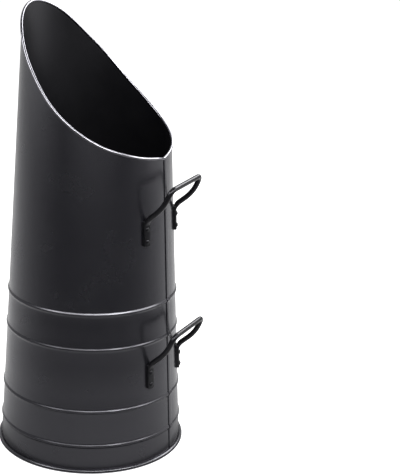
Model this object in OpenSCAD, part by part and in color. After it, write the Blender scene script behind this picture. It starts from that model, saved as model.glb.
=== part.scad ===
// Tall coal scuttle: a tapered sheet steel wall with a scooped mouth, a seamed-on base pan,
// and two bent bar handles riveted one above the other over the seam at the back.
//
// The floor is z = 0 and the scuttle's axis is the z axis. The high front lip is towards -y.
// The lock seam, the low rear lip and both handles are towards +y.

/* [Wall] */
// Outside diameter that the tapered wall would have at the floor
base_d = 244; // [225:1:260]
// Angle by which the wall leans inwards all round
wall_lean = 2.9; // [2:0.1:3.6]
// Thickness of the sheet steel
sheet_t = 0.8; // [0.6:0.1:1]
// Width of the folded lock seam that runs up the back
seam_w = 9; // [6:0.5:12]
// Height of the lock seam above the wall
seam_h = 1.1; // [0.8:0.1:1.6]

/* [Swaged beads] */
// Height of the first bead above the floor
bead_1_z = 37.2; // [28:0.1:50]
// Height of the second bead above the floor
bead_2_z = 84.8; // [70:0.1:95]
// Height of the third bead above the floor
bead_3_z = 169.4; // [163:0.1:180]
// Height of the fourth bead above the floor
bead_4_z = 217.2; // [200:0.1:230]
// Width of a bead up and down the wall
bead_w = 7; // [5:0.5:9]
// How far a bead stands out from the wall
bead_h = 1.8; // [1.2:0.1:2.4]

/* [Mouth] */
// Height of the rolled rim's centre at the low rear lip
rear_lip_z = 408.6; // [390:0.1:430]
// Height of the rolled rim's centre at the high front lip
front_lip_z = 589.3; // [550:0.1:620]
// Outside radius of the roll round the mouth
rim_r = 1.8; // [1.6:0.1:2.4]

/* [Base pan] */
// Outside radius of the seam roll round the foot
foot_roll_r = 2.65; // [2.4:0.05:3.2]
// Height of the pan's floor, measured to its upper face
pan_floor_z = 8; // [6:0.5:14]

/* [Handles] */
// Height of the upper handle's top rivets
upper_handle_z = 324.5; // [305:0.5:345]
// Height of the lower handle's top rivets
lower_handle_z = 129.5; // [126:0.5:134]
// Distance from the middle of the handle to the middle of each foot
foot_half_gap = 40; // [36:0.5:44]
// Diameter of the round bar
bar_d = 7; // [6.4:0.1:7.4]
// Width of the flattened foot
foot_w = 10; // [9:0.5:11]
// Thickness of the flattened foot
foot_t = 4; // [3.8:0.1:4.4]
// How far the grip's middle stands out from the wall
grip_out = 29; // [27:0.1:36]
// How far the grip's middle rises above the top rivets
grip_up = 57; // [53:0.1:63]
// Distance between the two rivets of a foot
rivet_pitch = 16; // [14:0.5:17]
// Radius of a rivet's shank
shank_r = 1.5; // [1.2:0.1:1.8]
// Radius of a rivet's domed head
head_r = 3; // [2.6:0.1:3.4]
// Height of a rivet's domed head
head_h = 1.8; // [1.4:0.1:2.2]

/* [Hidden] */

$fn = 96;
black_coat = [0.16, 0.16, 0.17];
bare_steel = [0.62, 0.62, 0.60];

// Direction of the seam, the rear lip and the handles, seen from above
back = 90;

// ---- Wall ----
bead_heights = [bead_1_z, bead_2_z, bead_3_z, bead_4_z];
bead_arc_r = (bead_w * bead_w / 4 + bead_h * bead_h) / (2 * bead_h);
section_top = front_lip_z + 20;
// Extra length that a cutting shape has beyond what it cuts
spare = 10;

// Outside radius of the wall at height z
function wall_r(z) = base_d / 2 - z * tan(wall_lean);

// ---- Mouth ----
// Share of the rise from rear lip to front lip, every 30 degrees from the seam round to the front.
// The mouth is the same on both sides, and starts at the seam in a shallow V.
rise_steps = [0, 0.06, 0.17, 0.37, 0.66, 0.91, 1];
rise_step = 30;
mouth_stations = 90;
roll_open_at = -75;
roll_turn = 330;
roll_steps = 10;
wire_sides = 8;
wire_play = 0.05;

// The share at step k, carried on past both ends so that the curve leaves them smoothly
function rise_at(k) =
    k < 0 ? 2 * rise_steps[0] - rise_steps[1] :
    k > 6 ? rise_steps[5] :
    rise_steps[k];

// Smooth curve through the four shares a, b, c, d, at t between b and c
function through(a, b, c, d, t) =
    (2 * b + (c - a) * t + (2 * a - 5 * b + 4 * c - d) * t * t + (3 * b - 3 * c + d - a) * t * t * t) / 2;

// Height of the mouth at an angle measured from the seam
function mouth_z(turn) =
    let (away = abs(turn) > 180 ? 360 - abs(turn) : abs(turn))
    let (k = min(floor(away / rise_step), 5))
    let (share = through(rise_at(k - 1), rise_at(k), rise_at(k + 1), rise_at(k + 2), away / rise_step - k))
    rear_lip_z + (front_lip_z - rear_lip_z) * share;

// Point on the centre line of the roll
function mouth_point(turn) =
    let (z = mouth_z(turn))
    [wall_r(z) * cos(back + turn), wall_r(z) * sin(back + turn), z];

// Direction of the centre line, taken across the two neighbouring stations
station = 360 / mouth_stations;
function mouth_direction(turn) = unit(mouth_point(turn + station) - mouth_point(turn - station));

// A section across the roll: its outline is given as [angle, radius] pairs, 0 outwards and 90 upwards
function mouth_section(turn, outline) =
    let (out = [cos(back + turn), sin(back + turn), 0])
    let (up = unit(cross(out, mouth_direction(turn))))
    [for (p = outline) mouth_point(turn) + p[1] * (cos(p[0]) * out + sin(p[0]) * up)];

// The sheet's edge stops just under the roll, which is taller where the mouth is steep
edge_gap = 0.15;
ring_margin = 3;
function sheet_edge_z(turn) =
    let (d = mouth_direction(turn))
    mouth_z(turn) - (rim_r + edge_gap) / norm([d[0], d[1]]);

// ---- Base pan ----
// How far the middle of the seam roll stands out from the wall's foot
roll_overhang = 1.4;
foot_roll_x = wall_r(0) + roll_overhang;
flange_z = sheet_t;

// ---- Handles ----
// The bar's bends: leaving the foot, at the knee half way up, and into the grip
foot_above = 11;
foot_below = 6.5;
foot_corner_r = 3;
grip_half = foot_half_gap + 1.5;
knee_x = grip_half + 1.5;
// From the knee to the grip, outwards and upwards
knee_to_grip = [10.3, 24.3];
foot_bend_r = 16;
knee_bend_r = 60;
grip_bend_r = 10;
bend_steps = 8;
bar_sides = 12;
// Length over which the flat foot becomes a round bar
forge_length = 14;
// The bar starts inside its foot, a little thinner and narrower than it
bar_start = 4;
inset = 0.3;

// ---- Rivets ----
tail_r = 2.4;
tail_h = 0.9;
tail_play = 0.02;
dome_r = (head_r * head_r + head_h * head_h) / (2 * head_h);

// ---- General shapes ----
function unit(v) = v / norm(v);
function smooth(t) = let (s = max(0, min(1, t))) s * s * (3 - 2 * s);

// Triangles that join a row of equal outlines, one after another
function skin(rows, points, closed) = [
    for (i = [0 : rows - (closed ? 1 : 2)], j = [0 : points - 1])
        let (a = i * points + j)
        let (b = i * points + (j + 1) % points)
        let (c = ((i + 1) % rows) * points + (j + 1) % points)
        let (d = ((i + 1) % rows) * points + j)
        each [[a, b, c], [a, c, d]]
];

// A closed loop of outlines
module loop_of(sections) {
    polyhedron(
        points = [for (s = sections) each s],
        faces = skin(len(sections), len(sections[0]), true),
        convexity = 4
    );
}

// A bar through a row of outlines, with flat ends
module bar_of(sections) {
    rows = len(sections);
    n = len(sections[0]);
    polyhedron(
        points = [for (s = sections) each s],
        faces = concat(
            skin(rows, n, false),
            [[for (j = [n - 1 : -1 : 0]) j]],
            [[for (j = [0 : n - 1]) (rows - 1) * n + j]]
        ),
        convexity = 4
    );
}

// Round corner of radius r at b, between straight runs from a and to c
function corner(a, b, c, r) =
    let (to_a = unit(a - b))
    let (to_c = unit(c - b))
    let (half = acos(to_a * to_c) / 2)
    let (centre = b + unit(to_a + to_c) * r / sin(half))
    let (first = b + to_a * r / tan(half) - centre)
    let (last = b + to_c * r / tan(half) - centre)
    let (turn = 180 - 2 * half)
    [for (i = [0 : bend_steps])
        let (t = i / bend_steps)
        centre + (sin((1 - t) * turn) * first + sin(t * turn) * last) / sin(turn)];

// Places its children on the wall's outer face: z is outwards and y is up the wall
module on_wall(azimuth, z) {
    rotate([0, 0, azimuth - 90])
        translate([0, wall_r(z), z])
            rotate([wall_lean - 90, 0, 0])
                rotate([0, 0, 180])
                    children();
}

// ---- Wall ----
// Half section of everything inside the wall, its faces moved in by the distance given
module wall_inside(moved_in, bottom) {
    polygon([
        [0, bottom],
        [wall_r(bottom) - moved_in, bottom],
        [wall_r(section_top) - moved_in, section_top],
        [0, section_top]
    ]);
    for (z = bead_heights)
        intersection() {
            translate([wall_r(z) + bead_h - bead_arc_r, z])
                circle(r = bead_arc_r - moved_in);
            translate([0, z - bead_w])
                square([base_d, 2 * bead_w]);
        }
}

// Everything above the edge of the sheet round the mouth, as a ring that holds the wall
module above_mouth() {
    top = section_top + spare;
    loop_of([
        for (i = [0 : mouth_stations - 1])
            let (turn = i * station)
            let (out = [cos(back + turn), sin(back + turn), 0])
            let (low = sheet_edge_z(turn))
            [
                (wall_r(low) - ring_margin) * out + [0, 0, low],
                (wall_r(low) + ring_margin) * out + [0, 0, low],
                (wall_r(top) + ring_margin) * out + [0, 0, top],
                (wall_r(top) - ring_margin) * out + [0, 0, top]
            ]
    ]);
}

module body_shell() {
    color(black_coat)
        difference() {
            union() {
                // Tapered wall with its swaged beads, and the flange that the base pan folds round
                rotate_extrude()
                    difference() {
                        union() {
                            wall_inside(0, flange_z);
                            translate([0, flange_z])
                                square([foot_roll_x, sheet_t]);
                        }
                        wall_inside(sheet_t, flange_z - 1);
                    }
                // Lock seam, folded over to one side of the joint
                intersection() {
                    rotate_extrude()
                        difference() {
                            wall_inside(-seam_h, 2 * foot_roll_r);
                            wall_inside(sheet_t / 2, 2 * foot_roll_r - 1);
                        }
                    translate([-seam_w, 0, 0])
                        cube([seam_w, base_d, section_top + spare]);
                }
            }
            above_mouth();
            rivet_holes(upper_handle_z);
            rivet_holes(lower_handle_z);
        }
}

// ---- Mouth ----
// The sheet's edge rolled outwards over a wire, open along the underside where the wall joins it
module mouth_rolled_rim() {
    angles = [for (i = [0 : roll_steps]) roll_open_at + i * roll_turn / roll_steps];
    outline = concat(
        [for (a = angles) [a, rim_r]],
        [for (i = [roll_steps : -1 : 0]) [angles[i], rim_r - sheet_t]]
    );
    color(black_coat)
        loop_of([for (i = [0 : mouth_stations - 1]) mouth_section(i * station, outline)]);
}

module mouth_rim_wire() {
    wire_r = rim_r - sheet_t - wire_play;
    outline = [for (j = [0 : wire_sides - 1]) [j * 360 / wire_sides, wire_r]];
    color(bare_steel)
        loop_of([for (i = [0 : mouth_stations - 1]) mouth_section(i * station, outline)]);
}

// ---- Base pan ----
// A pressed pan whose edge is folded out, round the wall's flange and back against the wall
module base_pan() {
    color(black_coat)
        rotate_extrude()
            difference() {
                union() {
                    // Raised floor, the skirt inside the wall and the ring that stands on the ground
                    intersection() {
                        wall_inside(sheet_t, 0);
                        square([base_d, pan_floor_z]);
                    }
                    square([foot_roll_x, sheet_t]);
                    // Roll round the flange, closed against the wall
                    difference() {
                        translate([foot_roll_x, foot_roll_r])
                            circle(r = foot_roll_r);
                        translate([foot_roll_x, foot_roll_r])
                            circle(r = foot_roll_r - sheet_t);
                        square([foot_roll_x, foot_roll_r]);
                        wall_inside(0, 0);
                    }
                }
                // Hollow under the floor
                translate([0, -1])
                    intersection() {
                        square([base_d, pan_floor_z + 1 - sheet_t]);
                        translate([0, 1])
                            wall_inside(2 * sheet_t, -1);
                    }
            }
}

// ---- Handles ----
// Angle round the wall from the back to the middle of a foot
function foot_turn(z) = asin(foot_half_gap / (wall_r(z) + foot_t / 2));

// Centre line of the bar on the +x side, from its foot to the middle of the grip
function half_bar(z) =
    let (azimuth = back - foot_turn(z))
    let (out = [cos(azimuth), sin(azimuth), 0])
    let (normal = cos(wall_lean) * out + [0, 0, sin(wall_lean)])
    let (uphill = [0, 0, cos(wall_lean)] - sin(wall_lean) * out)
    let (rivet = wall_r(z) * out + [0, 0, z] + normal * foot_t / 2)
    let (start = rivet + bar_start * uphill)
    let (bend = rivet + foot_above * uphill)
    let (end = [grip_half, wall_r(z) + grip_out, z + grip_up])
    let (knee = [knee_x, end[1] - knee_to_grip[0], end[2] - knee_to_grip[1]])
    let (middle = [0, end[1], end[2]])
    concat(
        [start],
        corner(start, bend, knee, foot_bend_r),
        corner(bend, knee, end, knee_bend_r),
        corner(knee, end, middle, grip_bend_r),
        [middle]
    );

// Length along a centre line up to point n
function run(path, n) = n == 0 ? 0 : run(path, n - 1) + norm(path[n] - path[n - 1]);

// Direction of a centre line at point n. The middle of the grip is level, pointing across.
function heading(path, n) =
    n == len(path) - 1 ? [-1, 0, 0] : n == 0 ? unit(path[1] - path[0]) : unit(path[n + 1] - path[n - 1]);

// Side directions that stay square to the centre line without twisting round it
function sides(path, first) = [
    for (
        n = 0, side = first;
        n < len(path);
        n = n + 1,
        side = n < len(path) ? unit(side - (side * heading(path, n)) * heading(path, n)) : side
    ) side
];

// Sections of the bar on the +x side: flat and wide at the foot, round by the end of the forging
function half_bar_sections(z) =
    let (path = half_bar(z))
    let (azimuth = back - foot_turn(z))
    let (across = sides(path, [-sin(azimuth), cos(azimuth), 0]))
    [for (n = [0 : len(path) - 1])
        let (t = smooth(run(path, n) / forge_length))
        let (half_w = (1 - t) * (foot_w / 2 - inset) + t * bar_d / 2)
        let (half_t = (1 - t) * (foot_t / 2 - inset) + t * bar_d / 2)
        let (square_to = cross(across[n], heading(path, n)))
        [for (j = [0 : bar_sides - 1])
            let (a = j * 360 / bar_sides)
            path[n] + half_w * cos(a) * across[n] + half_t * sin(a) * square_to]];

function mirrored(section) = [for (p = section) [-p[0], p[1], p[2]]];

module handle(z) {
    half = half_bar_sections(z);
    last = len(half) - 1;
    difference() {
        union() {
            bar_of(concat(half, [for (n = [last - 1 : -1 : 0]) mirrored(half[n])]));
            for (side = [-1, 1])
                on_wall(back + side * foot_turn(z), z)
                    linear_extrude(foot_t)
                        foot_outline();
        }
        rivet_holes(z);
    }
}

// Flattened end of the bar, with rounded corners
module foot_outline() {
    low = -rivet_pitch - foot_below;
    straight = foot_w - 2 * foot_corner_r;
    translate([-foot_w / 2, low + foot_corner_r])
        square([foot_w, foot_above - low - 2 * foot_corner_r]);
    translate([-straight / 2, low])
        square([straight, foot_above - low]);
    for (x = [-straight / 2, straight / 2], y = [low + foot_corner_r, foot_above - foot_corner_r])
        translate([x, y])
            circle(r = foot_corner_r);
}

module upper_handle() {
    color(black_coat)
        handle(upper_handle_z);
}

module lower_handle() {
    color(black_coat)
        handle(lower_handle_z);
}

// ---- Rivets ----
// Puts its children at one rivet of the handle at height z: side is 1 for left, -1 for right
module at_rivet(z, side, drop) {
    on_wall(back - side * foot_turn(z), z)
        translate([0, -drop, 0])
            children();
}

module rivet_holes(z) {
    for (side = [-1, 1], drop = [0, rivet_pitch])
        at_rivet(z, side, drop)
            translate([0, 0, -spare])
                cylinder(r = shank_r, h = 2 * spare);
}

// Domed head on the foot, shank through foot and wall, and the tail beaten flat inside
module rivet(z, side, drop) {
    // The flat tail stands off the hollow side of the wall by the wall's own curve
    stand_off = tail_r * tail_r / (2 * (wall_r(z) - sheet_t)) + tail_play;
    tail_z = -sheet_t - stand_off;
    color(black_coat)
        at_rivet(z, side, drop)
            rotate_extrude() {
                translate([0, tail_z - tail_h])
                    square([tail_r, tail_h]);
                translate([0, tail_z - tail_h / 2])
                    square([shank_r, foot_t - tail_z + tail_h]);
                intersection() {
                    translate([0, foot_t + head_h - dome_r])
                        circle(r = dome_r);
                    translate([0, foot_t])
                        square([head_r + spare, head_h + spare]);
                }
            }
}

module upper_rivet_left_top() { rivet(upper_handle_z, 1, 0); }
module upper_rivet_left_bottom() { rivet(upper_handle_z, 1, rivet_pitch); }
module upper_rivet_right_top() { rivet(upper_handle_z, -1, 0); }
module upper_rivet_right_bottom() { rivet(upper_handle_z, -1, rivet_pitch); }
module lower_rivet_left_top() { rivet(lower_handle_z, 1, 0); }
module lower_rivet_left_bottom() { rivet(lower_handle_z, 1, rivet_pitch); }
module lower_rivet_right_top() { rivet(lower_handle_z, -1, 0); }
module lower_rivet_right_bottom() { rivet(lower_handle_z, -1, rivet_pitch); }

body_shell();
mouth_rolled_rim();
mouth_rim_wire();
base_pan();
upper_handle();
lower_handle();
upper_rivet_left_top();
upper_rivet_left_bottom();
upper_rivet_right_top();
upper_rivet_right_bottom();
lower_rivet_left_top();
lower_rivet_left_bottom();
lower_rivet_right_top();
lower_rivet_right_bottom();
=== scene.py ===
# %% [markdown]
# # A tall coal scuttle in satin black
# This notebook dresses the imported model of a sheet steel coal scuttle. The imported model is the
# frame: it fixes every size and place. Each piece below is made again on the same numbers, with
# the soft edges and the finish that the real one has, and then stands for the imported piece.

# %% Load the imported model
import math

import bmesh
import bpy
from mathutils import Matrix, Vector


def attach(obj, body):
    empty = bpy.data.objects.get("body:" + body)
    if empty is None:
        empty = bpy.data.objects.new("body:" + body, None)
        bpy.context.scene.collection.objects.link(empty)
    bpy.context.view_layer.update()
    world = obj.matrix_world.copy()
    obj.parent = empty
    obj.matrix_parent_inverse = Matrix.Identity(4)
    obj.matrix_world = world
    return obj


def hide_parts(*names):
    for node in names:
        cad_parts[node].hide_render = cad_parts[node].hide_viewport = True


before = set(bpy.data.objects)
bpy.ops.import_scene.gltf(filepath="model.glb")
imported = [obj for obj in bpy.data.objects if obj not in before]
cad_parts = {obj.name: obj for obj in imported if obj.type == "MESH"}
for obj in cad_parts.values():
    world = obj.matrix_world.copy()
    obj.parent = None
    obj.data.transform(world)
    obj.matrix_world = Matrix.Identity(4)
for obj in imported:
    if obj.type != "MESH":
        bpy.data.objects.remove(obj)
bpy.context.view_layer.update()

# %% [markdown]
# ## Sizes
# The wall is a cone that leans inwards by 2.9 degrees. Everything that touches it, such as the
# mouth, the seam and the handles' feet, needs its radius at some height, so that comes first.
# Blender counts in metres, and a maker's drawing in millimetres, so sizes are written as n * mm.
# The four beads stiffen the wall. A roller pressed them out of the sheet, the highest one deepest.

# %% The wall's radius and its beads
mm = 0.001
wall_lean = math.radians(2.9)
sheet = 0.8 * mm
bead_heights = [37.2 * mm, 84.8 * mm, 169.4 * mm, 217.2 * mm]
bead_swell = [1.6 * mm, 1.6 * mm, 1.45 * mm, 1.65 * mm]
bead_reach = 3.7 * mm  # from a bead's crest to its edge, up and down


def wall_radius(z):
    return 122 * mm - z * math.tan(wall_lean)


def bead_bump(z):
    """How far the beads push the wall out at height z: a smooth wave, as a roller leaves it."""
    away, swell = min((abs(z - b), h) for b, h in zip(bead_heights, bead_swell))
    if away >= bead_reach:
        return 0.0
    return swell * (1 + math.cos(math.pi * away / bead_reach)) / 2


print("wall radius at the floor and at 500 mm:", wall_radius(0), wall_radius(500 * mm))

# %% [markdown]
# The mouth is cut on a curve. A tinsmith draws it as a paper pattern: the height is marked at
# equal steps round the wall, and a smooth line goes through the marks. Here the marks are shares
# of the rise from the low rear lip to the high front lip, one every 30 degrees.

# %% The curve of the mouth
rear_lip, front_lip = 408.6 * mm, 589.3 * mm
marks = [0, 0.06, 0.17, 0.37, 0.66, 0.91, 1]


def mark(k):
    """Share at mark k, carried on past both ends so that the line leaves them smoothly."""
    return 2 * marks[0] - marks[1] if k < 0 else marks[5] if k > 6 else marks[k]


def mouth_height(turn):
    """Height of the mouth at an angle, in degrees, from the seam: a smooth line through the marks."""
    turn = abs((turn + 180) % 360 - 180)
    k = min(int(turn // 30), 5)
    t = turn / 30 - k
    a, b, c, d = mark(k - 1), mark(k), mark(k + 1), mark(k + 2)
    share = (2 * b + (c - a) * t + (2 * a - 5 * b + 4 * c - d) * t**2 + (3 * b - 3 * c + d - a) * t**3) / 2
    return rear_lip + (front_lip - rear_lip) * share


def outwards(turn):
    """Level direction out from the axis at an angle from the seam, which faces +Y."""
    return Vector((-math.sin(math.radians(turn)), math.cos(math.radians(turn)), 0))


def mouth_point(turn):
    z = mouth_height(turn)
    return outwards(turn) * wall_radius(z) + Vector((0, 0, z))


print("mouth heights:", [round(mouth_height(t), 4) for t in range(0, 181, 30)])

# %% [markdown]
# ## Helpers
# Most pieces here are sheet or bar, so three helpers make them all. One spins an outline round
# the scuttle's axis. One draws an outline along a line by extruding it again and again, and
# moving each new ring to its place. The last turns a finished bmesh into an object that rides on
# the model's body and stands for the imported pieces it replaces.


# %% Spin an outline round the axis
def spun(outline, steps):
    """A bmesh made by spinning (radius, height) points round the z axis."""
    bm = bmesh.new()
    verts = [bm.verts.new((r, 0, z)) for r, z in outline]
    edges = [bm.edges.new(pair) for pair in zip(verts, verts[1:])]
    bmesh.ops.spin(
        bm, geom=verts + edges, cent=(0, 0, 0), axis=(0, 0, 1),
        angle=math.tau, steps=steps, use_merge=True,
    )
    bmesh.ops.remove_doubles(bm, verts=bm.verts[:], dist=1e-6)
    bmesh.ops.recalc_face_normals(bm, faces=bm.faces[:])
    return bm


# %% Draw an outline along a line
def swept(rings, closed):
    """A bmesh made by extruding the first ring of points to each of the others in turn."""
    bm = bmesh.new()
    ring = [bm.verts.new(p) for p in rings[0]]
    first = [bm.edges.new((a, b)) for a, b in zip(ring, ring[1:] + ring[:1])]
    edges = first
    if not closed:
        bm.faces.new(ring)
    for points in rings[1:] + (rings[:1] if closed else []):
        made = bmesh.ops.extrude_edge_only(bm, edges=edges)["geom"]
        new = {v for v in made if isinstance(v, bmesh.types.BMVert)}
        edges = [
            e for e in made
            if isinstance(e, bmesh.types.BMEdge) and e.verts[0] in new and e.verts[1] in new
        ]
        ring = [next(w for e in v.link_edges if (w := e.other_vert(v)) in new) for v in ring]
        for v, p in zip(ring, points):
            v.co = p
    if not closed:
        bm.faces.new(ring)
    bmesh.ops.remove_doubles(bm, verts=bm.verts[:], dist=1e-6)
    bmesh.ops.recalc_face_normals(bm, faces=bm.faces[:])
    return bm


# %% Turn a bmesh into a finished piece
def piece(name, bm, material, nodes, sharp=40):
    """An object in its place, smooth except at edges sharper than the angle given."""
    mesh = bpy.data.meshes.new(name)
    bm.to_mesh(mesh)
    bm.free()
    mesh.shade_smooth()
    mesh.set_sharp_from_angle(angle=math.radians(sharp))
    mesh.materials.append(material)
    obj = bpy.data.objects.new(name, mesh)
    bpy.context.scene.collection.objects.link(obj)
    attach(obj, "root")
    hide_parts(*nodes)
    print(f"{name}: {len(mesh.polygons)} faces")
    return obj


# %% [markdown]
# ## Finishes
# Colours are written as on a paint card, in sRGB hex, and one function turns them to the linear
# values that Blender's shaders count in. One more function adds a shader node, sets it and links
# it, so that each finish reads as a short list.


# %% Colour and shader node helpers
def paint(hex_colour):
    """sRGB hex to linear RGBA."""
    channels = [int(hex_colour[i:i + 2], 16) / 255 for i in (1, 3, 5)]
    return (*[c / 12.92 if c <= 0.04045 else ((c + 0.055) / 1.055) ** 2.4 for c in channels], 1)


def add(tree, kind, settings=None, inputs=None, links=None):
    """A node of that kind with its settings, input values and {input: output socket} links."""
    node = tree.nodes.new(kind)
    for key, value in (settings or {}).items():
        setattr(node, key, value)
    for key, value in (inputs or {}).items():
        node.inputs[key].default_value = value
    for key, socket in (links or {}).items():
        tree.links.new(socket, node.inputs[key])
    return node


def new_material(name):
    """An empty node tree with its output, ready for a finish."""
    material = bpy.data.materials.new(name)
    material.use_nodes = True
    material.node_tree.nodes.clear()
    return material, material.node_tree, add(material.node_tree, "ShaderNodeOutputMaterial")


# %% [markdown]
# The scuttle is powder coated: dry black paint dust is baked on until it flows. It gives a satin
# face that mirrors softly, and never lies quite flat. Painters call its fine waves orange peel.
# Its gloss changes a little from place to place, where the dust lay thicker.
# The waves are about 1 mm apart on the real coat. They are drawn 2.5 mm apart, as finer ones
# wouldn't show at this distance.
# How strongly a coat mirrors comes from its index of refraction, ior, and from a factor, sheen.
# Both are set higher than plain paint's where the real coat draws clear bright lines: on the wall,
# and most of all on the roll round the mouth.


# %% Satin black powder coat
uneven_gloss = 0.035
cool_mirror = (0.93, 0.92, 1.0, 1)  # what the coat mirrors is a little cooler than the light


def powder_coat(name, colour, rough, wave, wave_depth, ior, sheen):
    """A coat in two close tones, with a roughness, waves of that width and depth, and a gloss."""
    material, tree, out = new_material(name)
    where = add(tree, "ShaderNodeTexCoord").outputs["Object"]
    # Waves of the flowed coat
    peel = add(
        tree, "ShaderNodeTexNoise", inputs={"Scale": 1 / wave, "Detail": 2.0, "Roughness": 0.45},
        links={"Vector": where},
    )
    bump = add(
        tree, "ShaderNodeBump", inputs={"Strength": 1.0, "Distance": wave_depth},
        links={"Height": peel.outputs["Fac"]},
    )
    # Patches about 45 mm across where the coat is a little glossier or duller
    patches = add(
        tree, "ShaderNodeTexNoise", inputs={"Scale": 1 / (45 * mm), "Detail": 3.0, "Roughness": 0.6},
        links={"Vector": where},
    )
    gloss = add(
        tree, "ShaderNodeMapRange",
        inputs={
            "From Min": 0.3, "From Max": 0.7,
            "To Min": rough - uneven_gloss, "To Max": rough + uneven_gloss,
        },
        links={"Value": patches.outputs["Fac"]},
    )
    # Grains of pigment that didn't quite flow out make the black a touch uneven
    grain = add(
        tree, "ShaderNodeTexNoise", inputs={"Scale": 1 / (1.2 * mm), "Detail": 3.0, "Roughness": 0.7},
        links={"Vector": where},
    )
    dark, light = colour
    tone = add(
        tree, "ShaderNodeMix", settings={"data_type": "RGBA"},
        links={"Factor": grain.outputs["Fac"]},
    )
    tone.inputs["A"].default_value = paint(dark)
    tone.inputs["B"].default_value = paint(light)
    coat = add(
        tree, "ShaderNodeBsdfPrincipled",
        inputs={"IOR": ior, "Specular IOR Level": sheen, "Specular Tint": cool_mirror},
        links={
            "Base Color": tone.outputs["Result"],
            "Roughness": gloss.outputs["Result"],
            "Normal": bump.outputs["Normal"],
        },
    )
    tree.links.new(coat.outputs["BSDF"], out.inputs["Surface"])
    return material


sheet_coat = powder_coat(
    "satin_black_powder_coat", ("#101013", "#18181c"),
    rough=0.25, wave=2.5 * mm, wave_depth=0.008 * mm, ior=1.6, sheen=0.95,
)

# %% [markdown]
# Three places have a gloss of their own. The melting powder draws itself smooth over the thin
# roll round the mouth, so that shines most. The inside has a duller coat, and its colours are
# painted darker than the outside's, as painted shade in the hollow. And the handles are forged
# bar: the hammer leaves shallow flats about 4 mm across, and the coat is a little duller over them.

# %% The coat on the roll, inside and on the bar
edge_coat = powder_coat(
    "glossy_black_coat_on_rolled_edge", ("#08080a", "#0f0f12"),
    rough=0.15, wave=2.5 * mm, wave_depth=0.004 * mm, ior=2.5, sheen=0.95,
)
# The inside's base colours are painted darker than the outside's, as painted shade in the hollow
inside_painted_shade_coat = powder_coat(
    "dull_black_coat_inside_painted_shade", ("#060608", "#0b0b0d"),
    rough=0.38, wave=2.5 * mm, wave_depth=0.02 * mm, ior=1.5, sheen=0.7,
)
bar_coat = powder_coat(
    "black_powder_coat_on_forged_bar", ("#0a0a0b", "#111113"),
    rough=0.28, wave=4 * mm, wave_depth=0.05 * mm, ior=1.5, sheen=0.4,
)

# %% [markdown]
# The wire inside the roll is plain drawn steel. Hardly any of it shows, so it stays as imported
# and only gets the right finish: a thin grey skin, lighter and darker in patches.

# %% Drawn steel wire
wire_steel, tree, out = new_material("drawn_steel_wire")
where = add(tree, "ShaderNodeTexCoord").outputs["Object"]
skin = add(
    tree, "ShaderNodeTexNoise", inputs={"Scale": 1 / (3 * mm), "Detail": 4.0},
    links={"Vector": where},
)
shade = add(
    tree, "ShaderNodeMix", settings={"data_type": "RGBA"}, links={"Factor": skin.outputs["Fac"]}
)
shade.inputs["A"].default_value = paint("#8e8d88")
shade.inputs["B"].default_value = paint("#a9a8a3")
steel = add(
    tree, "ShaderNodeBsdfPrincipled", inputs={"Metallic": 1.0, "Roughness": 0.35},
    links={"Base Color": shade.outputs["Result"]},
)
tree.links.new(steel.outputs["BSDF"], out.inputs["Surface"])
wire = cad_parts["mouth_rim_wire"]
wire.data.materials.clear()
wire.data.materials.append(wire_steel)
print("wire:", len(wire.data.polygons), "faces")

# %% [markdown]
# ## The wall
# On the real scuttle this is one sheet, rolled into a cone and pressed between rollers for its
# four beads. Spinning one side line round the axis gives the same shape. The line has many
# points at the beads and few between them.
# The mouth can't be spun. So the wall is first spun level, a little over its beads, and then
# each column of points above them is stretched up to the mouth's curve at that angle.


# %% Spin the wall
flange_z = 1.2 * mm  # the sheet's lower edge, inside the base pan's roll
above_bead = 2 * mm


def wall_rows():
    """Heights of the wall's rows of points, close together over each bead."""
    rows = [flange_z]
    for b in bead_heights:
        start = rows[-1]
        rows += [start + (b - bead_reach - start) * i / 4 for i in range(1, 4)]
        rows += [b + bead_reach * (i / 9 - 1) for i in range(19)]
    return rows


upper_rows = 30
flat_top = bead_heights[-1] + bead_reach + above_bead
level_rows = wall_rows() + [flat_top + i * mm for i in range(upper_rows + 1)]
bm = spun([(wall_radius(z) + bead_bump(z), z) for z in level_rows], steps=360)

# %% Stretch it up to the mouth
station = 1.0  # degrees to each side over which the mouth's direction is taken
tucked_in = 1.2 * mm
hairline = 0.1 * mm


def mouth_direction(turn):
    return (mouth_point(turn + station) - mouth_point(turn - station)).normalized()


def sheet_edge(turn):
    """The sheet ends inside the roll, a little under its middle, measured square to the mouth."""
    d = mouth_direction(turn)
    return mouth_height(turn) - tucked_in / math.hypot(d.x, d.y)


def turn_of(point):
    """The angle from the seam at which a point stands, in degrees."""
    return math.degrees(math.atan2(-point.x, point.y))


for v in bm.verts:
    if v.co.z > flat_top - hairline:
        share = (v.co.z - flat_top) / (upper_rows * mm)
        turn = turn_of(v.co)
        z = flat_top + share * (sheet_edge(turn) - flat_top)
        v.co = outwards(turn) * wall_radius(z) + Vector((0, 0, z))
bmesh.ops.solidify(bm, geom=bm.faces[:], thickness=sheet)
wall = piece("wall_sheet", bm, sheet_coat, ["body_shell"])

# %% Give its inner faces the duller coat, painted darker as shade
wall.data.materials.append(inside_painted_shade_coat)
for face in wall.data.polygons:
    if face.normal.x * face.center.x + face.normal.y * face.center.y < 0:
        face.material_index = 1
low = [min(v.co[i] for v in wall.data.vertices) for i in range(3)]
high = [max(v.co[i] for v in wall.data.vertices) for i in range(3)]
print("wall box:", [round(v, 4) for v in low + high])

# %% [markdown]
# ## The lock seam
# The sheet's two edges are hooked into each other and hammered flat, which leaves a raised strip
# 9 mm wide up the back. One side of it is a sharp step, where the upper edge is folded under, and
# the other is a soft shoulder. The seam was made before the beads, so it rides over each of them.
# A flat grid is the easy start: each of its points is then moved to its place on the wall.

# %% Bend a grid into the seam
seam_start = 4.6 * mm  # down in the crease over the base pan's roll
seam_rows_above = 60
under_roll = 0.4 * mm
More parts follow.
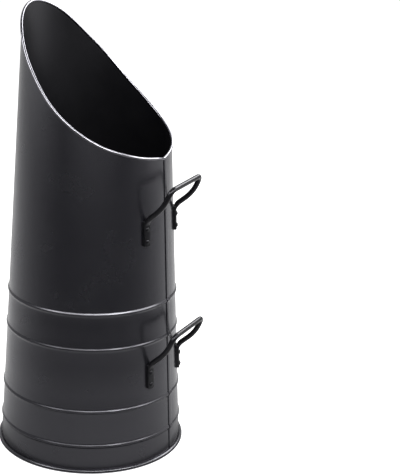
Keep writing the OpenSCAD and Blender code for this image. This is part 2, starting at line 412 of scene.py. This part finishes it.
# (distance across, height above the wall) in mm, from the sharp step to the soft shoulder
seam_profile = [
    (0.10, -0.5), (0.10, 0.15), (0.06, 0.6), (0.0, 0.88), (-0.14, 1.04), (-0.4, 1.1), (-1.6, 1.1),
    (-3.4, 1.08), (-5.2, 1.08), (-7.0, 1.05), (-7.8, 0.96), (-8.4, 0.72), (-8.8, 0.4), (-9.0, 0.1),
    (-9.05, -0.5),
]
seam_rows = [seam_start] + wall_rows()[1:] + [flat_top + i * mm for i in range(seam_rows_above + 1)]
bm = bmesh.new()
bmesh.ops.create_grid(bm, x_segments=len(seam_profile) - 1, y_segments=len(seam_rows) - 1, size=1)
across, along = len(seam_profile) - 1, len(seam_rows) - 1
for v in bm.verts:
    x, rise = seam_profile[round((v.co.x + 1) / 2 * across)]
    x, rise = x * mm, rise * mm
    z = seam_rows[round((v.co.y + 1) / 2 * along)]
    if z > flat_top:
        turn = math.degrees(math.asin(-x / wall_radius(rear_lip)))
        share = (z - flat_top) / (seam_rows_above * mm)
        z = flat_top + share * (sheet_edge(turn) - under_roll - flat_top)
    radius = wall_radius(z) + bead_bump(z) + rise
    v.co = (x, math.sqrt(radius**2 - x**2), z)
bmesh.ops.recalc_face_normals(bm, faces=bm.faces[:])
outermost = max(bm.faces, key=lambda f: f.calc_center_median().y)
if outermost.normal.y < 0:
    bmesh.ops.reverse_faces(bm, faces=bm.faces[:])
piece("lock_seam", bm, sheet_coat, ["body_shell"], sharp=50)

# %% [markdown]
# ## The roll round the mouth
# The sheet's edge is curled outwards round a steel wire until it meets the wall again, which
# makes the mouth stiff and safe to touch. Its outline is an open C. The outline is drawn along
# the mouth's curve, and at each step it stands square to that curve.


# %% Draw the roll along the mouth
def square_to_mouth(turn, outline):
    """An outline of (angle, radius) points, 0 degrees outwards and 90 upwards, set on the mouth."""
    out = outwards(turn)
    up = out.cross(mouth_direction(turn)).normalized()
    return [
        mouth_point(turn) + r * (math.cos(math.radians(a)) * out + math.sin(math.radians(a)) * up)
        for a, r in outline
    ]


roll_radius, roll_sheet = 1.8 * mm, 0.75 * mm
roll_start, roll_turn, roll_steps = -84, 328, 20  # in degrees: open below, where the sheet comes in
angles = [roll_start + roll_turn * i / roll_steps for i in range(roll_steps + 1)]
c_outline = [(a, roll_radius) for a in angles]
c_outline += [(a, roll_radius - roll_sheet) for a in reversed(angles)]
stations = [360 * i / 300 for i in range(300)]
bm = swept([square_to_mouth(t, c_outline) for t in stations], closed=True)
piece("rolled_rim", bm, edge_coat, ["mouth_rolled_rim"])

# %% [markdown]
# ## The base pan
# The bottom is a shallow pressed pan. Its edge is turned out under the wall's flange and rolled
# back over it, which leaves the round bead that the scuttle stands on. It is all one outline, so
# one spin makes it.


# %% Spin the base pan
def arc(x, z, r, start, end, steps):
    """Points of an arc round (x, z), from one angle to another, in degrees."""
    return [
        (x + r * math.cos(math.radians(a)), z + r * math.sin(math.radians(a)))
        for a in (start + (end - start) * i / steps for i in range(steps + 1))
    ]


foot_x, foot_r, floor_z = 123.4 * mm, 2.65 * mm, 8 * mm
skirt = wall_radius(0) - sheet - 0.05 * mm
hook = 146  # degrees round the roll, from straight outwards, where the folded edge ends
corner_x, corner_z = skirt - 1.9 * mm, floor_z - 1.5 * mm
pan = [(r * mm, floor_z) for r in (0, 30, 60, 90, 110)]
pan += arc(corner_x, corner_z, 1.5 * mm, 90, 0, 6)
pan += [(skirt, 1.6 * mm), (skirt + 0.3 * mm, sheet)]
pan += arc(foot_x, foot_r, foot_r - sheet, -90, hook, 20)
pan += arc(foot_x, foot_r, foot_r, hook, -90, 28)
pan += arc(skirt - sheet + 0.8 * mm, 0.8 * mm, 0.8 * mm, 270, 180, 4)
pan += arc(corner_x, corner_z, 0.7 * mm, 0, 90, 4)
pan += [(r * mm, floor_z - sheet) for r in (110, 60, 0)]
bm = spun(pan, steps=300)
piece("base_pan_pressing", bm, sheet_coat, ["base_pan"], sharp=35)

# %% [markdown]
# ## The handles
# Each handle is one bar. A smith flattens both ends for the feet, then bends the bar out from
# the wall, up past a soft knee and round a tight corner into the level grip. The bar's middle
# line is found first: straight runs with a round bend at each corner.

# %% Sizes of the handles
upper_z, lower_z = 324.5 * mm, 129.5 * mm
half_gap, foot_width, foot_thick, bar_radius = 40 * mm, 10 * mm, 4 * mm, 3.5 * mm
grip_out, grip_up, grip_half = 29 * mm, 57 * mm, 41.5 * mm
rivet_pitch, foot_above, foot_below = 16 * mm, 11 * mm, 6.5 * mm
bar_start, forge_length, inset = 4 * mm, 14 * mm, 0.3 * mm
knee_aside, knee_in, knee_down = 3 * mm, 10.3 * mm, 24.3 * mm
foot_bend, knee_bend, grip_bend = 16 * mm, 60 * mm, 10 * mm
bar_step = 1.2 * mm


def foot_frame(z, side):
    """Where a foot's top rivet meets the wall: x along the wall, y up it and z straight out."""
    turn = -side * math.asin(half_gap / (wall_radius(z) + foot_thick / 2))
    out = outwards(math.degrees(turn))
    up = Vector((0, 0, 1))
    normal = math.cos(wall_lean) * out + math.sin(wall_lean) * up
    uphill = math.cos(wall_lean) * up - math.sin(wall_lean) * out
    origin = out * wall_radius(z) + Vector((0, 0, z))
    return Matrix((uphill.cross(normal), uphill, normal)).transposed().to_4x4(), origin


# %% The bar's middle line
def bend(a, b, c, r, steps=14):
    """Points of a round corner of radius r at b, between straight runs from a and to c."""
    to_a, to_c = (a - b).normalized(), (c - b).normalized()
    half = to_a.angle(to_c) / 2
    centre = b + (to_a + to_c).normalized() * (r / math.sin(half))
    first, last = b + to_a * (r / math.tan(half)) - centre, b + to_c * (r / math.tan(half)) - centre
    full = math.pi - 2 * half
    return [
        centre + (first * math.sin((1 - t) * full) + last * math.sin(t * full)) / math.sin(full)
        for t in (i / steps for i in range(steps + 1))
    ]


def bar_line(z):
    """The middle line on the +X side, from inside the foot to the middle of the grip."""
    turned, origin = foot_frame(z, 1)
    uphill, normal = turned.col[1].to_3d(), turned.col[2].to_3d()
    rivet = origin + normal * (foot_thick / 2)
    start = rivet + uphill * bar_start
    leave = rivet + uphill * foot_above
    grip_y, grip_z = wall_radius(z) + grip_out, z + grip_up
    knee = Vector((half_gap + knee_aside, grip_y - knee_in, grip_z - knee_down))
    corner, middle = Vector((grip_half, grip_y, grip_z)), Vector((0, grip_y, grip_z))
    line = [start] + bend(start, leave, knee, foot_bend) + bend(leave, knee, corner, knee_bend)
    return line + bend(knee, corner, middle, grip_bend) + [middle]


def even(line, step):
    """The same line with points an even distance apart, and each point's distance along it."""
    runs = [0.0]
    for a, b in zip(line, line[1:]):
        runs.append(runs[-1] + (b - a).length)
    count = round(runs[-1] / step)
    points, along, k = [], [], 0
    for i in range(count + 1):
        d = runs[-1] * i / count
        while k < len(line) - 2 and runs[k + 1] < d:
            k += 1
        points.append(line[k].lerp(line[k + 1], (d - runs[k]) / (runs[k + 1] - runs[k])))
        along.append(d)
    return points, along


half_length = even(bar_line(upper_z), bar_step)[1][-1]
print("half a handle's bar:", round(half_length / mm, 1), "mm")

# %% [markdown]
# The bar's outline changes along that line. Where it leaves the foot it is flat and wide with
# rounded edges, and over the next 14 mm it becomes round. A superellipse covers both: its power is
# 2 for an ellipse, and near 6 for a flat bar.


# %% The bar's outline along the line
def ease(t):
    """A soft change from 0 to 1 as t goes from 0 to 1."""
    t = max(0.0, min(1.0, t))
    return t * t * (3 - 2 * t)


def bar_shape(d):
    """Half width, half thickness and power of the outline at distance d from the bar's start."""
    t = ease(d / forge_length)
    half_w = (1 - t) * (foot_width / 2 - inset) + t * bar_radius
    half_t = (1 - t) * (foot_thick / 2 - inset) + t * bar_radius
    return half_w, half_t, 6 - 4 * t


def bar_rings(z, sides=24):
    """The bar's outlines along the whole handle: one half, and then its mirror image."""
    line, along = even(bar_line(z), bar_step)
    side = foot_frame(z, 1)[0].col[0].to_3d()
    rings = []
    for n, (p, d) in enumerate(zip(line, along)):
        last = n == len(line) - 1
        ahead = Vector((-1, 0, 0)) if last else (line[n + 1] - line[max(n - 1, 0)]).normalized()
        side = (side - ahead * side.dot(ahead)).normalized()
        flat = side.cross(ahead)
        half_w, half_t, power = bar_shape(d)
        ring = []
        for j in range(sides):
            c, s = math.cos(math.tau * j / sides), math.sin(math.tau * j / sides)
            x = half_w * math.copysign(abs(c) ** (2 / power), c)
            y = half_t * math.copysign(abs(s) ** (2 / power), s)
            ring.append(p + side * x + flat * y)
        rings.append(ring)
    other = [[Vector((-p.x, p.y, p.z)) for p in ring] for ring in rings[-2::-1]]
    return rings + other


# %% [markdown]
# The foot is the bar's end, hammered into a flat plate. Its lower corners are rounded, and its
# upper ones are nearly square beside the bar. Each plate is an outline, extruded and bevelled.


# %% The feet
def foot_plate(z, side):
    """One foot as a mesh of its own, in its place on the wall."""
    half, low = foot_width / 2, -rivet_pitch - foot_below
    round_low, round_high, round_edge = 3 * mm, 1 * mm, 0.6 * mm
    outline = arc(half - round_low, low + round_low, round_low, -90, 0, 6)
    outline += arc(half - round_high, foot_above - round_high, round_high, 0, 90, 4)
    outline += [(-x, y) for x, y in reversed(outline)]
    bm = bmesh.new()
    face = bm.faces.new([bm.verts.new((x, y, 0)) for x, y in outline])
    made = bmesh.ops.extrude_face_region(bm, geom=[face], use_keep_orig=True)["geom"]
    top = [v for v in made if isinstance(v, bmesh.types.BMVert)]
    bmesh.ops.translate(bm, verts=top, vec=(0, 0, foot_thick))
    rim = [e for e in made if isinstance(e, bmesh.types.BMEdge)]
    bmesh.ops.bevel(bm, geom=rim, offset=round_edge, segments=3, profile=0.5, affect="EDGES")
    bmesh.ops.recalc_face_normals(bm, faces=bm.faces[:])
    turned, origin = foot_frame(z, side)
    bmesh.ops.transform(bm, verts=bm.verts[:], matrix=Matrix.Translation(origin) @ turned)
    mesh = bpy.data.meshes.new("foot")
    bm.to_mesh(mesh)
    bm.free()
    return mesh


# %% Put each handle together
for handle_name, z in (("upper", upper_z), ("lower", lower_z)):
    bm = swept(bar_rings(z), closed=False)
    for side in (-1, 1):
        plate = foot_plate(z, side)
        bm.from_mesh(plate)
        bpy.data.meshes.remove(plate)
    piece(f"{handle_name}_handle_bar", bm, bar_coat, [f"{handle_name}_handle"], sharp=45)

# %% [markdown]
# ## The rivets
# Two rivets hold each foot. Outside, each has a low domed head. Inside the wall, its end was
# beaten into a flat button. Both are round, so one outline is spun and then set on the wall.

# %% Spin the rivets and set them on the feet
head_r, head_h, shank_r = 3 * mm, 1.8 * mm, 1.5 * mm
tail_r, tail_h, tail_round = 2.4 * mm, 0.9 * mm, 0.35 * mm
head_edge, undercut = 0.18 * mm, 0.1 * mm
under_head, above_tail = foot_thick - 0.02 * mm, -sheet - 0.03 * mm
rivet_outline = [(0, foot_thick + head_h)]
for i in range(1, 8):
    a = math.pi / 2 * i / 7
    dome = (head_h - head_edge) * math.cos(a)
    rivet_outline.append((head_r * math.sin(a), foot_thick + head_edge + dome))
rivet_outline += [(head_r - undercut, under_head), (shank_r, under_head)]
rivet_outline += [(shank_r, above_tail), (tail_r - undercut, above_tail)]
rivet_outline += arc(tail_r - tail_round, -sheet - tail_h + tail_round, tail_round, 0, -90, 4)
rivet_outline += [(0, above_tail - tail_h)]
for handle_name, z in (("upper", upper_z), ("lower", lower_z)):
    for side_name, side in (("left", 1), ("right", -1)):
        for place, drop in (("top", 0), ("bottom", rivet_pitch)):
            turned, origin = foot_frame(z, side)
            bm = spun(rivet_outline, steps=32)
            bmesh.ops.translate(bm, verts=bm.verts[:], vec=(0, -drop, 0))
            bmesh.ops.transform(bm, verts=bm.verts[:], matrix=Matrix.Translation(origin) @ turned)
            node = f"{handle_name}_rivet_{side_name}_{place}"
            piece(node + "_dome", bm, bar_coat, [node], sharp=50)

# %% [markdown]
# ## Floor, camera and light
# The photograph is a product shot on plain white. The floor and the world are white to the camera
# and in reflections, and add a weak, even light to that of the lamps. The floor still takes its
# shadow.


# %% A white floor that keeps the shadow
def white_where_seen(tree):
    """1 for rays from the camera and for mirrored ones, 0 for the rest."""
    path = add(tree, "ShaderNodeLightPath")
    mirrored = add(
        tree, "ShaderNodeMath", {"operation": "MAXIMUM"},
        links={0: path.outputs["Is Glossy Ray"], 1: path.outputs["Is Transmission Ray"]},
    )
    return add(
        tree, "ShaderNodeMath", {"operation": "MAXIMUM"},
        links={0: path.outputs["Is Camera Ray"], 1: mirrored.outputs["Value"]},
    ).outputs["Value"]


def studio_object(name, bm, material):
    """A bmesh as an object that stands in the studio and isn't part of the scuttle."""
    mesh = bpy.data.meshes.new(name)
    bm.to_mesh(mesh)
    bm.free()
    mesh.materials.append(material)
    obj = bpy.data.objects.new(name, mesh)
    bpy.context.scene.collection.objects.link(obj)
    return obj


def level_sheet(name, half_size, material):
    """A level square sheet on the studio's floor."""
    bm = bmesh.new()
    bmesh.ops.create_grid(bm, x_segments=1, y_segments=1, size=half_size)
    return studio_object(name, bm, material)


floor_glow = 0.82  # takes the lit floor up to white where it is seen
floor_white, tree, out = new_material("white_studio_floor")
lit = add(tree, "ShaderNodeBsdfDiffuse", inputs={"Color": paint("#e9e9e9")})
amount = add(
    tree, "ShaderNodeMath", {"operation": "MULTIPLY"}, {1: floor_glow}, {0: white_where_seen(tree)}
)
glow = add(
    tree, "ShaderNodeEmission", inputs={"Color": (1, 1, 1, 1)},
    links={"Strength": amount.outputs["Value"]},
)
both = add(
    tree, "ShaderNodeAddShader", links={0: lit.outputs["BSDF"], 1: glow.outputs["Emission"]}
)
tree.links.new(both.outputs["Shader"], out.inputs["Surface"])
floor = level_sheet("studio_floor", 6, floor_white)

# %% [markdown]
# The world is the white wall of the studio. Where it is seen it has a strength of 1, which is
# white, and it lights the scuttle with a fifth of that.

# %% The world behind it
world_light = 0.2
world = bpy.data.worlds.new("white_studio")
world.use_nodes = True
bpy.context.scene.world = world
tree = world.node_tree
tree.nodes.clear()
strength = add(
    tree, "ShaderNodeMapRange", inputs={"To Min": world_light, "To Max": 1.0},
    links={"Value": white_where_seen(tree)},
)
sky = add(
    tree, "ShaderNodeBackground", inputs={"Color": (1, 1, 1, 1)},
    links={"Strength": strength.outputs["Result"]},
)
add(tree, "ShaderNodeOutputWorld", links={"Surface": sky.outputs["Background"]})

# %% [markdown]
# The camera is fitted to the photograph. It stands 1.9 m back and 0.93 m up, and looks down on the
# scuttle by about 19 degrees, with a long lens and a slight tilt. The Standard view keeps colours
# as written.

# %% The camera
stand_turn = math.radians(119.5)
stand_back, eye_height = 1.8855, 0.9283
yaw, pitch, roll_by = math.radians(4.3044), math.radians(-18.7754), math.radians(2.092)
camera_data = bpy.data.cameras.new("photo_camera")
camera_data.lens = 113.445
camera_data.sensor_width = 36
camera_data.clip_end = 50
camera = bpy.data.objects.new("photo_camera", camera_data)
look = Vector((math.sin(yaw) * math.cos(pitch), math.cos(yaw) * math.cos(pitch), math.sin(pitch)))
right = look.cross(Vector((0, 0, 1))).normalized()
up = right.cross(look)
tilt_right = right * math.cos(roll_by) + up * math.sin(roll_by)
tilt_up = up * math.cos(roll_by) - right * math.sin(roll_by)
turned = Matrix((tilt_right, tilt_up, -look)).transposed().to_4x4()
place = Matrix.Translation((0, -stand_back, eye_height)) @ turned
camera.matrix_world = Matrix.Rotation(stand_turn, 4, "Z") @ place
bpy.context.scene.collection.objects.link(camera)
bpy.context.scene.camera = camera
bpy.context.scene.view_settings.view_transform = "Standard"
camera_place = camera.matrix_world.translation
camera_azimuth = math.atan2(camera_place.y, camera_place.x)
print("camera at", [round(v, 3) for v in camera_place])

# %% [markdown]
# A bright line runs along each bead and along the mouth's roll. Such a line is the mirror image of
# a lamp, seen where the round edge has just the right slope. So five lamps stand in an arc about
# the camera, and the arc comes down towards its ends as those slopes do. One more lamp behind
# lights the handles' grips, and two at the sides draw the soft edges of the wall.


# %% The lamps
def softbox(name, turn, distance, height, aim_z, size, radiance):
    """An area lamp at an angle from the camera's side, whose face glows with that radiance."""
    data = bpy.data.lights.new(name, "AREA")
    data.shape = "RECTANGLE"
    data.size, data.size_y = size
    data.energy = radiance * math.pi * size[0] * size[1]
    lamp = bpy.data.objects.new(name, data)
    around = math.radians(turn) + camera_azimuth
    spot = Vector((distance * math.cos(around), distance * math.sin(around), height))
    aim = Vector((0, 0, aim_z)) - spot
    facing = aim.to_track_quat("-Z", "Y").to_matrix().to_4x4()
    lamp.matrix_world = Matrix.Translation(spot) @ facing
    bpy.context.scene.collection.objects.link(lamp)


arc_height, arc_fall = 1.9, 0.66
arc_lamps = [(-60, 2.9), (-25, 6.2), (10, 9.6), (45, 13.4), (80, 4.8)]
for number, (turn, radiance) in enumerate(arc_lamps, 1):
    height = arc_height * math.cos(math.radians(arc_fall * turn))
    softbox(f"arc_softbox_{number}", turn, 1.5, height, 0.3, (1.0, 0.5), radiance)
softbox("back_softbox", turn=132, distance=1.7, height=1.5, aim_z=0.45, size=(1.3, 0.7), radiance=8.6)
softbox("left_softbox", turn=-70, distance=1.4, height=1.75, aim_z=0.5, size=(1.0, 0.5), radiance=7)
softbox("right_softbox", turn=100, distance=1.6, height=0.8, aim_z=0.3, size=(1.0, 1.5), radiance=0.4)

# %% [markdown]
# The wall leans back a little, so it mirrors the floor before it, and over plain white it would
# look grey. In the photograph it is nearly black, so the ground there must have been dark. Here a
# black net lies over the white floor. Only mirrored rays meet it. It is densest towards the camera
# and opens towards the back, so the wall is darkest in the middle and lighter at both sides. It
# also opens a little near the scuttle, and is dense again close round its foot.

# %% The black net on the floor
densest, opening = 0.99, -0.15  # straight before the scuttle, and the change towards the back
near_share, near_from, near_to = 0.82, 0.3, 0.7  # the thinner part near the scuttle
foot_from, foot_to = 0.135, 0.165  # the dense ring round the foot
net_black, tree, out = new_material("black_net")
matt = add(tree, "ShaderNodeBsdfDiffuse", inputs={"Color": paint("#303032")})
clear = add(tree, "ShaderNodeBsdfTransparent")
where = add(tree, "ShaderNodeTexCoord").outputs["Object"]
# 1 straight before the scuttle and -1 straight behind it
side = add(tree, "ShaderNodeVectorMath", {"operation": "NORMALIZE"}, links={0: where})
before = add(
    tree, "ShaderNodeVectorMath", {"operation": "DOT_PRODUCT"}, {1: (1, 0.05, 0)},
    {0: side.outputs["Vector"]},
)
aside = add(
    tree, "ShaderNodeMath", {"operation": "SUBTRACT"}, {0: 1.0}, {1: before.outputs["Value"]}
)
opened = add(tree, "ShaderNodeMath", {"operation": "POWER"}, {1: 2.0}, {0: aside.outputs["Value"]})
thread = add(
    tree, "ShaderNodeMath", {"operation": "MULTIPLY_ADD"}, {1: opening, 2: densest},
    {0: opened.outputs["Value"]},
)
# How much of that is left at a distance from the scuttle's axis
away = add(tree, "ShaderNodeVectorMath", {"operation": "LENGTH"}, links={0: where}).outputs["Value"]
near = add(
    tree, "ShaderNodeMapRange",
    inputs={"From Min": near_from, "From Max": near_to, "To Min": near_share, "To Max": 1},
    links={"Value": away},
)
under = add(
    tree, "ShaderNodeMapRange",
    inputs={"From Min": foot_from, "From Max": foot_to, "To Min": 1, "To Max": 0},
    links={"Value": away},
)
dense = add(
    tree, "ShaderNodeMath", {"operation": "MAXIMUM"},
    links={0: near.outputs["Result"], 1: under.outputs["Result"]},
)
cover = add(
    tree, "ShaderNodeMath", {"operation": "MULTIPLY", "use_clamp": True},
    links={0: thread.outputs["Value"], 1: dense.outputs["Value"]},
)
woven = add(
    tree, "ShaderNodeMixShader",
    links={0: cover.outputs["Value"], 1: clear.outputs["BSDF"], 2: matt.outputs["BSDF"]},
)
tree.links.new(woven.outputs["Shader"], out.inputs["Surface"])
over_floor = 2 * mm
net = level_sheet("black_net", 3, net_black)
net.matrix_world = Matrix.Rotation(camera_azimuth, 4, "Z") @ Matrix.Translation((0, 0, over_floor))

# %% [markdown]
# The same net hangs as a tent over the whole studio, again for mirrored rays only. Without it the
# beads and the roll would mirror so much white that the lamps' lines would drown in it. Under the
# tent those lines are thin and bright, with black beside them.

# %% The black tent
tent_radius, below_floor = 5, -0.1
bm = bmesh.new()
bmesh.ops.create_uvsphere(bm, u_segments=64, v_segments=32, radius=tent_radius)
under_tent = [v for v in bm.verts if v.co.z < below_floor]
bmesh.ops.delete(bm, geom=under_tent, context="VERTS")
tent = studio_object("black_tent", bm, net_black)
tent.matrix_world = Matrix.Rotation(camera_azimuth, 4, "Z")
for cloth in (net, tent):
    cloth.visible_camera = cloth.visible_diffuse = cloth.visible_shadow = False
print("lamps:", len(bpy.data.lights))
